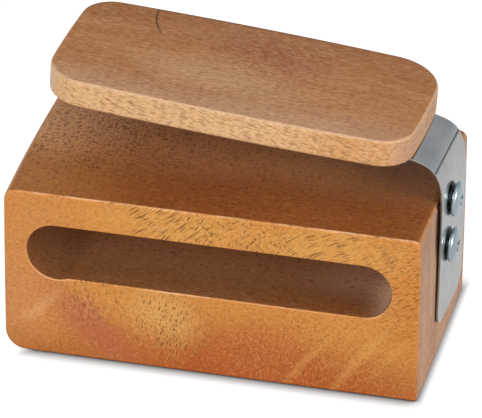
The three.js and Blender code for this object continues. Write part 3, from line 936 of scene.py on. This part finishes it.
# %% Clapper finish: pores and rims
colour, dents = grained(tree, colour, 0, bent, board, flat, (
    ((-74, 3, 10), (110, 60, 9), (0, 0, 4), (3, 0.5), 0.5, 0.5),
    ((-52, 12, 10), (34, 24, 9), (0, 0, -30), (2.6, 0.5), 0.6, 0.5),
), pale="e2b583", dark="7a4522")
colour, dents = grained(tree, colour, dents, bent, board, side, (
    ((-60, 3, 0), (120, 70, 3), (0, 0, 4), (4, 0.8), 0.4, 0.4),
    ((-60, -27, 5), (120, 6, 10), (90, 13, 0), (3.6, 0.45), 0.5, 0.7),
    ((-60, 33, 5), (120, 6, 10), (90, 8, 0), (3.6, 0.45), 0.5, 0.7),
    ((3.7, 3, 5), (6, 40, 10), (0, -90, 90), (1.4, 0.7), 0.5, 0.45),
    ((-121, 3, 5), (6, 40, 10), (0, -90, 90), (1.4, 0.7), 0.5, 0.45),
), pale="f4d2a4", dark="874824")
# The top's rim is paler: partly wear from handling, partly a painted highlight.
colour = stained(
    tree, colour, ("f4d6b0", flat, beyond(tree, board, 2, 10.09, 9.9), 0.3),
    ("5c3018", beyond(tree, board, 1, 29.8, 31.6, 0.6)), ("4e2410", hairline, 0.8))
oiled(tree, colour, dents, roughness=0.52, uneven=bands)
print("clapper finish:", len(tree.nodes), "nodes")

# %% [markdown]
# ## Plated steel
# The strip was rolled, bent and then nickel plated, so it mirrors the white table on its flat
# and the grey studio on its bend, with faint lines of the rolling along it. Noise that is
# only fine across the strip draws them. The real lines are finer than a dot of the picture,
# so they are drawn 0.25 mm apart. The screws are zinc plated, bluer and duller, with a grain
# of half a millimetre. Where the heads meet the strip, painted shade darkens the crevice: on
# their marked undersides, and in a dark ring on the strip round each head.

# %% Metal finishes
# Painted crevice shade where the screw heads meet the strip.
crevice_shade_colour = "101214"


def plated(name, colour, dull, roughness, line_size, turn=0, shade_rings=()):
    """A plated metal with lines or grain of a size in mm, duller clouds and painted crevice shade.
    """
    metal, tree, place = new_finish(name)
    lines = figure(tree, place, 0.3, 0.7, size=line_size, turn=turn, fine=2)
    clouds = figure(tree, place, 0.35, 0.7, size=(9, 9, 9))
    rough = add_node(tree, "MapRange", {0: clouds, 3: roughness, 4: roughness * 1.8})
    bump = add_node(tree, "Bump", {"Strength": 0.15, "Distance": 0.02 * mm, "Height": lines})
    crevice_shade = add_node(tree, "Attribute", attribute_name="crevice_shade").outputs["Fac"]
    colour = stained(tree, colour, (dull, clouds, 0.35), (crevice_shade_colour, crevice_shade, 0.95))
    for middle, radius in shade_rings:
        ring = patch(tree, place, middle, (radius,) * 3, soft=0.06)
        colour = stained(tree, colour, (crevice_shade_colour, ring))
    shader = add_node(tree, "BsdfPrincipled", {
        "Base Color": colour, "Metallic": 1, "Roughness": rough.outputs[0],
        "Normal": bump.outputs[0]})
    add_node(tree, "OutputMaterial", {0: shader.outputs[0]})
    return metal


# Painted shade: a dark ring on the strip round each end screw's head.
shade_under_heads = [(line.translation / mm, 5.2) for line in end_lines]
strip_plating = plated(
    "nickel_plated_rolled_steel", "c4c4c2", "989a9c", roughness=0.045,
    line_size=(9, 0.25, 9), turn=strip_turn, shade_rings=shade_under_heads)
screw_plating = plated(
    "zinc_plated_steel_screw", "bccad0", "8c9aa2", roughness=0.14, line_size=(0.5, 0.5, 0.5))
finishes = {
    "block_wood": block_oil, "clapper_wood": clapper_oil, "plated_screws": screw_plating}
dressed = [(strip, strip_plating)] + [(piece, finishes[slot]) for piece, *_, slot in pieces]
for piece, finish in dressed:
    piece.data.materials.clear()
    piece.data.materials.append(finish)
    print(piece.name, "is finished in", finish.name)

# %% [markdown]
# ## Table and wall
# The photograph has a plain white ground with a soft narrow shadow. A brighter lamp would
# bleach the wood as well, so the table itself gives out a little light, but only towards the
# camera and to what mirrors it. It gives out less within a few millimetres of the object, so
# the shadow where they touch stays, and this fades at both sides of the block as it does in
# the photograph. A grey wall far behind, out of the picture, is what the strip's bend
# mirrors, and a darker one below it fills the gap down to the table.

# %% Table and wall
def stage_sheet(name, location, rotation, size):
    """A square sheet that isn't part of the object."""
    bpy.ops.object.select_all(action="DESELECT")
    bpy.ops.mesh.primitive_plane_add(size=size, location=location, rotation=rotation)
    sheet = bpy.context.object
    sheet.name = name
    return sheet


def lit_sheet(name, colour, seen_glow, mirrored_glow, contact):
    """A matt surface that also glows to the camera and in mirrors, less in corners and high up."""
    material, tree = empty_net(name)
    path = add_node(tree, "LightPath").outputs
    through = add_node(tree, "Math", {0: path["Is Camera Ray"], 1: path["Is Transmission Ray"]},
                       operation="MAXIMUM").outputs[0]
    mirrored = times(tree, path["Is Glossy Ray"], mirrored_glow)
    glow = add_node(tree, "Math", {0: through, 1: seen_glow, 2: mirrored},
                    operation="MULTIPLY_ADD").outputs[0]
    open_sky = add_node(tree, "AmbientOcclusion", {"Distance": contact}, samples=16)
    open_sky = add_node(tree, "MapRange", {0: open_sky.outputs["AO"], 1: 0.44, 2: 0.98})
    level = add_node(tree, "SeparateXYZ", {0: add_node(tree, "NewGeometry").outputs["Position"]})
    high = add_node(tree, "MapRange", {0: level.outputs[2], 1: 0.2, 2: 1.8, 3: 1, 4: 0.4})
    for start, full in ((-60 * mm, -66 * mm), (69.5 * mm, 72.5 * mm)):
        side = add_node(tree, "MapRange", {0: level.outputs[0], 1: start, 2: full})
        open_sky = add_node(tree, "Math", {0: open_sky.outputs[0], 1: side.outputs[0]},
                            operation="MAXIMUM")
    strength = times(tree, glow, open_sky.outputs[0], high.outputs[0])
    matt = add_node(tree, "BsdfDiffuse", {0: light_of(colour)})
    light = add_node(tree, "Emission", {0: light_of("ffffff"), 1: strength})
    both = add_node(tree, "AddShader", {0: matt.outputs[0], 1: light.outputs[0]})
    add_node(tree, "OutputMaterial", {0: both.outputs[0]})
    return material


upright = (math.pi / 2, 0, 0)
table = stage_sheet("table", (0, 0, -hair), (0, 0, 0), 16)
table.data.materials.append(lit_sheet("white_table", "848484", 0.9, 0.5, 6.5 * mm))
wall = stage_sheet("wall", (0, 3.2, 8.2), upright, 16)
wall.data.materials.append(lit_sheet("grey_wall", "bcc0c6", 0.1, 0.34, 9 * mm))
skirt = stage_sheet("skirt", (0, 3.4, 0), upright, 12)
skirt.data.materials.append(lit_sheet("grey_gap", "a0a0a0", 0, 0, 9 * mm))
print("stage:", table.name, wall.name, skirt.name)

# %% [markdown]
# ## Light
# A large soft lamp stands at the left front and a second one at the right, both turned to
# the middle of the block. A pale sky fills in the rest, at a level at which a colour renders
# about as it is written.

# %% Light
world = bpy.data.worlds.new("studio")
bpy.context.scene.world = world
world.use_nodes = True
sky = world.node_tree.nodes["Background"].inputs
sky["Color"].default_value, sky["Strength"].default_value = light_of("f2f5f8"), 0.85

lit_point = Vector((0, 0, 30 * mm))
for name, location, width, height, watts in (
    ("key", (-0.7, -1.9, 0.85), 1, 1.4, 21),
    ("fill", (1.9, -0.6, 0.7), 1.2, 0.8, 20),
):
    lamp = bpy.data.objects.new(name, bpy.data.lights.new(name, "AREA"))
    lamp.data.shape = "RECTANGLE"
    lamp.data.size, lamp.data.size_y, lamp.data.energy = width, height, watts
    lamp.location = location
    lamp.rotation_euler = (lit_point - lamp.location).to_track_quat("-Z", "Y").to_euler()
    bpy.context.scene.collection.objects.link(lamp)
    print("lamp", name, "of", watts, "W")
bpy.context.scene.view_settings.view_transform = "Standard"
